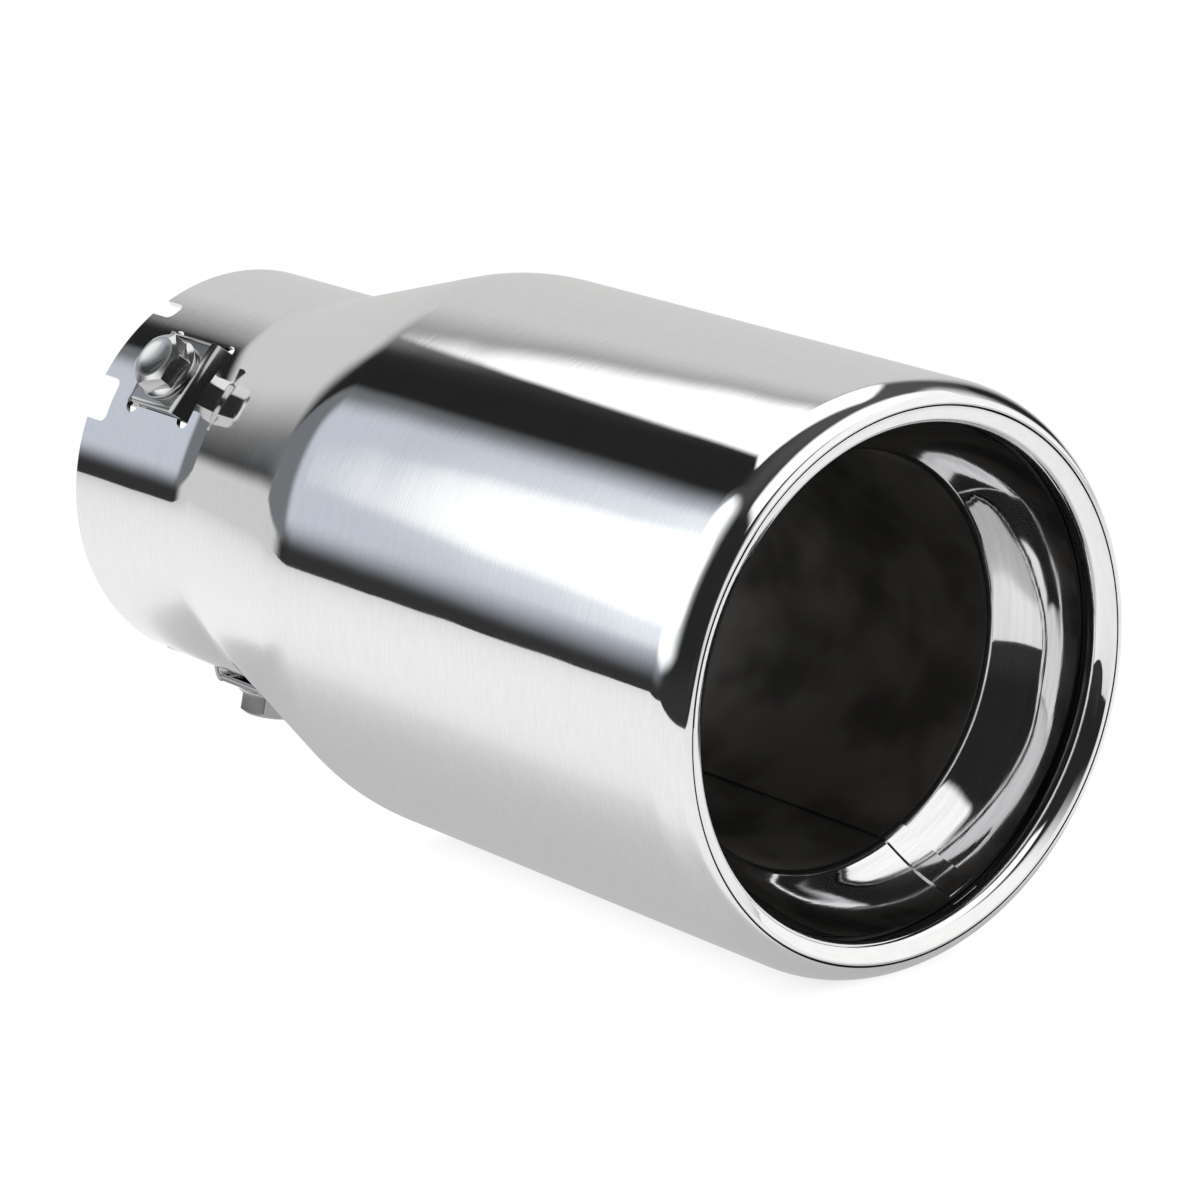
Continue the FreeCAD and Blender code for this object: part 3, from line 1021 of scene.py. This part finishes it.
class TIP_OT_inner_tube(bpy.types.Operator):
    """Makes the plain tube between the liner and the neck."""

    bl_idname = "tip.inner_tube"
    bl_label = "Inner tube"

    def execute(self, context):
        sizes = settings("tip_liner")
        finish = settings("tip_finish")
        joint = joint_place(sizes)
        moves = [(joint.x - settings("tip_shell").neck_run, 0)]
        mesh = round_sheet(joint, math.pi, moves, sizes.gauge)
        tube = as_object("tube_skin", mesh)
        thicken(tube, sizes.gauge)
        shade(tube)
        steel = metal(
            "tube_steel", finish.tube_colour, finish.tube_gloss,
            lines=900.0, run=60.0, depth=3e-6, spread=0.08, mottle=0.5,
        )
        finish_piece(tube, steel, "tube_steel", "inner_tube")
        return {"FINISHED"}


class TIP_OT_clamp_plates(bpy.types.Operator):
    """Makes the clamp plates: bridges over the neck with a leg at each end."""

    bl_idname = "tip.clamp_plates"
    bl_label = "Clamp plates"

    def execute(self, context):
        finish = settings("tip_finish")
        steel = metal(
            "plate_steel", finish.plate_colour, finish.plate_gloss,
            lines=1500.0, run=60.0, depth=2e-6, spread=0.03,
        )
        for i, turn in enumerate(clamp_angles()):
            plate = clamp_plate(f"plate_{i + 1}", turn)
            finish_piece(plate, steel, "clamp_plate", f"clamp_bracket_{i + 1}")
        return {"FINISHED"}


class TIP_OT_clamp_screws(bpy.types.Operator):
    """Makes the hexagon flange screws on the clamp plates."""

    bl_idname = "tip.clamp_screws"
    bl_label = "Clamp screws"

    def execute(self, context):
        finish = settings("tip_finish")
        sizes = settings("tip_screw")
        zinc = metal(
            "screw_zinc", finish.screw_colour, finish.screw_gloss,
            lines=600.0, run=600.0, depth=2e-6, spread=0.04,
        )
        for i, turn in enumerate(clamp_angles()):
            spanner_turn = sizes.first_hex + sizes.hex_step * i
            screw = clamp_screw(f"screw_{i + 1}", turn, spanner_turn)
            finish_piece(screw, zinc, "clamp_screw", f"clamp_screw_{i + 1}")
        return {"FINISHED"}


# The studio: camera, table and the cards that the polished metal mirrors
CAMERA_PLACE = Vector((0.7495, -0.5223, 0.2340))
CAMERA_BACK = Vector((0.7449, -0.6076, 0.2756))
CAMERA_LENS = 146.37
SENSOR = 36.0

# Table edges, measured from the origin towards the camera and to the camera's right
TABLE_FRONT = 0.4
TABLE_BACK = -2.5
TABLE_LEFT = -0.52
TABLE_RIGHT = 2.5

DARK_ROOM = (0.02, 0.02, 0.021)

# Cards: facing azimuth, elevation and turn in degrees, the range across and up as tangents
# from the facing direction, the corner radius, the edges' softness, and the colour
CARDS = {
    "backdrop": (147, 0, 3, (-0.45, 0.68), (-9.0, 0.78), 0, (0.17, 0.23), (0.65, 0.65, 0.64)),
    "backdrop_low": (193, 0, 0, (-0.4, 0.25), (-9.0, 0.02), 0, (0.11, 0.03), (0.64, 0.64, 0.63)),
    "grey_top": (-92, 97.5, -10, (-1.03, 0.22), (-0.76, 1.34), 0, (0.42, 0.08), (0.09, 0.09, 0.09)),
    "gap_flag": (-87, 87, 18, (-2.15, -0.38), (-1.5, 0.49), 0, (0.41, 0.12), (0.018, 0.018, 0.018)),
    "glow_low": (-90, 35, 0, (-8.2, -0.96), (-0.78, 0.72), 0.08, (1.0, 0.07), (0.18, 0.19, 0.20)),
    "glow": (-90, 32, 0, (-1.8, -0.47), (-0.78, 0.68), 0.38, (0.25, 0.13), (0.58, 0.62, 0.69)),
    "softbox_left": (-90, 32, -3, (-1.26, -0.12), (-0.59, 0.61), 0.45, (0.1, 0.02), (1.14, 1.16, 1.14)),
    "softbox_far": (-90, 35, 0, (-1.09, -0.13), (-0.65, 0.63), 0.2, (0.27, 0.05), (1.35, 1.4, 1.4)),
    "softbox_top": (91, 71, -123, (-0.84, 0.05), (0.21, 0.99), 0.12, (0.03, 0.06), (1.3, 1.3, 1.3)),
    "card_front": (13, 55, -88, (-0.51, 0.1), (-0.6, 1.54), 0.1, (0.06, 0.06), (1.2, 1.2, 1.2)),
    "card_right": (54, 18, 5, (-1.1, 0.86), (-0.6, 0.66), 0.08, (0.37, 0.13), (1.04, 1.04, 1.02)),
    "horizon": (-87, 1.5, 0, (-1.83, 3.34), (-0.45, 0.03), 0.08, (0.29, 0.15), (0.034, 0.034, 0.034)),
}

# Painted shade on the mirrored table top: its brightness by the distance from the line that the tip
# rests on
TABLE_GLOW = ((0, 0.5), (50, 0.57), (75, 0.73), (107, 0.93), (250, 0.93), (1200, 0.65))

# The shade under the tip that the camera sees: the part of the tip's length that rests on
# the table, how far the shade reaches, and its brightness
CONTACT = (0.45, 0.95)
SHADE_REACH = 24 * MM
SHADE_LEVEL = 0.7

# How much faster the table brightens past the tip's ends than beside it
END_STRETCH = 3.0


def card_group():
    """Mask of a flat card, seen from the tip in a given direction."""
    inputs = {
        "Direction": (0, 0, 1),
        "Facing": (0, 0, 1),
        "Across": (1, 0, 0),
        "Rise": (0, 1, 0),
        "Across middle": 0.0,
        "Across stretch": 1.0,
        "Across inset": 1.0,
        "Rise middle": 0.0,
        "Rise stretch": 1.0,
        "Rise inset": 1.0,
        "Corner": 0.1,
        "Edge": 0.1,
    }
    tree, given, result = node_group("Studio card", inputs, ("Mask",))

    def along(axis):
        values = {0: given["Direction"], 1: given[axis]}
        node = add_node(tree, "ShaderNodeVectorMath", values, operation="DOT_PRODUCT")
        return node.outputs["Value"]

    depth = along("Facing")
    front = math_node(tree, "GREATER_THAN", depth, 0.001)
    past = []
    for axis in ("Across", "Rise"):
        offset = math_node(tree, "DIVIDE", along(axis), depth)
        offset = math_node(tree, "SUBTRACT", offset, given[f"{axis} middle"])
        offset = math_node(tree, "ABSOLUTE", offset)
        offset = math_node(tree, "MULTIPLY", offset, given[f"{axis} stretch"])
        offset = math_node(tree, "SUBTRACT", offset, given[f"{axis} inset"])
        past.append(math_node(tree, "MAXIMUM", offset, 0.0))
    inside = math_node(tree, "SUBTRACT", given["Corner"], distance_of(tree, *past))
    edge = math_node(tree, "DIVIDE", inside, given["Edge"])
    mask = math_node(tree, "MULTIPLY", front, ramp(tree, edge, -1.0, 1.0))
    tree.links.new(mask, result["Mask"])
    return tree


def card_axes(azimuth, elevation, turn):
    """Facing, across and rise directions of a card."""
    azimuth, elevation, turn = (math.radians(a) for a in (azimuth, elevation, turn))
    facing = Vector((
        math.cos(azimuth) * math.cos(elevation),
        math.sin(azimuth) * math.cos(elevation),
        math.sin(elevation),
    ))
    across = Vector((-math.sin(azimuth), math.cos(azimuth), 0))
    across.rotate(Matrix.Rotation(turn, 3, facing))
    return facing, across, facing.cross(across)


def studio_world():
    """A world that metal sees as cards in a dark room, and everything else as white."""
    world = bpy.data.worlds.new("studio")
    bpy.context.scene.world = world
    tree = empty_tree(world)
    direction = add_node(tree, "ShaderNodeTexCoord").outputs["Generated"]
    group = card_group()
    seen = DARK_ROOM
    for azimuth, elevation, turn, across, rise, corner, edges, shade_of in CARDS.values():
        facing, sideways, upwards = card_axes(azimuth, elevation, turn)
        stretch = edges[1] / edges[0]
        corner = max(corner, edges[1])
        values = {
            "Direction": direction,
            "Facing": facing,
            "Across": sideways,
            "Rise": upwards,
            "Across middle": sum(across) / 2,
            "Across stretch": stretch,
            "Across inset": (across[1] - across[0]) / 2 * stretch - corner,
            "Rise middle": sum(rise) / 2,
            "Rise inset": (rise[1] - rise[0]) / 2 - corner,
            "Corner": corner,
            "Edge": edges[1],
        }
        card = add_node(tree, "ShaderNodeGroup", values, node_tree=group)
        seen = mix_values(tree, card.outputs["Mask"], seen, shade_of)
    mirrored = add_node(tree, "ShaderNodeBackground", {"Color": seen})
    plain = add_node(tree, "ShaderNodeBackground", {"Color": (1, 1, 1)})
    rays = add_node(tree, "ShaderNodeLightPath").outputs
    metal_ray = math_node(tree, "MAXIMUM", rays["Is Glossy Ray"], rays["Is Transmission Ray"])
    values = {0: metal_ray, 1: plain.outputs[0], 2: mirrored.outputs[0]}
    choose = add_node(tree, "ShaderNodeMixShader", values)
    add_node(tree, "ShaderNodeOutputWorld", {"Surface": choose.outputs[0]})


def table_material():
    """White table top with painted shade, darker where the tip stands on it."""
    material = bpy.data.materials.new("table_white")
    tree = empty_tree(material)
    parts = split(tree, object_place(tree))

    def away_from(rear, front):
        past = math_node(tree, "SUBTRACT", parts["X"], (rear + front) / 2)
        past = math_node(tree, "ABSOLUTE", past)
        past = math_node(tree, "SUBTRACT", past, (front - rear) / 2)
        past = math_node(tree, "MULTIPLY", math_node(tree, "MAXIMUM", past, 0.0), END_STRETCH)
        return distance_of(tree, past, parts["Y"])

    reach = TABLE_GLOW[-1][0] * MM
    away = math_node(tree, "DIVIDE", away_from(0, TIP_LENGTH), reach)
    # The mirrored table's painted shade, by the distance from the tip
    curve = add_node(tree, "ShaderNodeFloatCurve", {"Value": away})
    line = curve.mapping.curves[0]
    for millimetres, level in TABLE_GLOW[1:-1]:
        line.points.new(millimetres * MM / reach, level)
    line.points[0].location = (0, TABLE_GLOW[0][1])
    line.points[-1].location = (1, TABLE_GLOW[-1][1])
    curve.mapping.extend = "HORIZONTAL"
    curve.mapping.update()
    beside = away_from(*(TIP_LENGTH * part for part in CONTACT))
    shaded = ramp(tree, beside, 0, SHADE_REACH, SHADE_LEVEL, 1.0)
    camera_ray = add_node(tree, "ShaderNodeLightPath").outputs["Is Camera Ray"]
    level = mix_values(tree, camera_ray, curve.outputs[0], shaded, "FLOAT")
    white = add_node(tree, "ShaderNodeEmission", {"Color": (1, 1, 1), "Strength": level})
    add_node(tree, "ShaderNodeOutputMaterial", {"Surface": white.outputs[0]})
    return material


class TIP_OT_studio(bpy.types.Operator):
    """Makes the table, the camera and the light."""

    bl_idname = "tip.studio"
    bl_label = "Studio"

    def execute(self, context):
        scene = context.scene
        scene.view_settings.view_transform = "Standard"
        camera = bpy.data.cameras.new("camera")
        camera.lens = CAMERA_LENS
        camera.sensor_width = SENSOR
        camera.clip_start = 0.01
        camera.clip_end = 20.0
        stand = bpy.data.objects.new("camera", camera)
        stand.location = CAMERA_PLACE
        stand.rotation_mode = "QUATERNION"
        stand.rotation_quaternion = (-CAMERA_BACK).to_track_quat("-Z", "Y")
        scene.collection.objects.link(stand)
        scene.camera = stand

        towards = Vector((CAMERA_BACK.x, CAMERA_BACK.y, 0)).normalized()
        rightwards = Vector((-towards.y, towards.x, 0))
        mesh = bmesh.new()
        corners = [
            towards * front + rightwards * side + Vector((0, 0, FLOOR_HEIGHT))
            for front, side in (
                (TABLE_FRONT, TABLE_LEFT),
                (TABLE_FRONT, TABLE_RIGHT),
                (TABLE_BACK, TABLE_RIGHT),
                (TABLE_BACK, TABLE_LEFT),
            )
        ]
        bmesh.ops.contextual_create(mesh, geom=[mesh.verts.new(c) for c in corners])
        table = as_object("table", mesh)
        table.data.materials.append(table_material())
        studio_world()
        return {"FINISHED"}


class TIP_PT_panel(bpy.types.Panel):
    """Lists the steps that make the tip."""

    bl_label = "Exhaust tip"
    bl_idname = "TIP_PT_panel"
    bl_space_type = "VIEW_3D"
    bl_region_type = "UI"
    bl_category = "Exhaust tip"

    def draw(self, context):
        for step in STEPS:
            self.layout.operator(step.bl_idname)


SETTINGS = {
    "tip_shell": TipShellSizes,
    "tip_ring": TipRingSizes,
    "tip_liner": TipLinerSizes,
    "tip_clamp": TipClampSizes,
    "tip_screw": TipScrewSizes,
    "tip_finish": TipFinish,
}
STEPS = (
    TIP_OT_outer_shell,
    TIP_OT_lip_ring,
    TIP_OT_liner,
    TIP_OT_inner_tube,
    TIP_OT_clamp_plates,
    TIP_OT_clamp_screws,
    TIP_OT_studio,
)


def register():
    for kind in (*SETTINGS.values(), *STEPS, TIP_PT_panel):
        bpy.utils.register_class(kind)
    for name, kind in SETTINGS.items():
        setattr(bpy.types.Scene, name, bpy.props.PointerProperty(type=kind))


def unregister():
    for name in SETTINGS:
        delattr(bpy.types.Scene, name)
    for kind in reversed((*SETTINGS.values(), *STEPS, TIP_PT_panel)):
        bpy.utils.unregister_class(kind)


def main():
    """Makes every piece and the studio."""
    register()
    bpy.ops.tip.outer_shell()
    bpy.ops.tip.lip_ring()
    bpy.ops.tip.liner()
    bpy.ops.tip.inner_tube()
    bpy.ops.tip.clamp_plates()
    bpy.ops.tip.clamp_screws()
    bpy.ops.tip.studio()


if __name__ == "__main__":
    main()
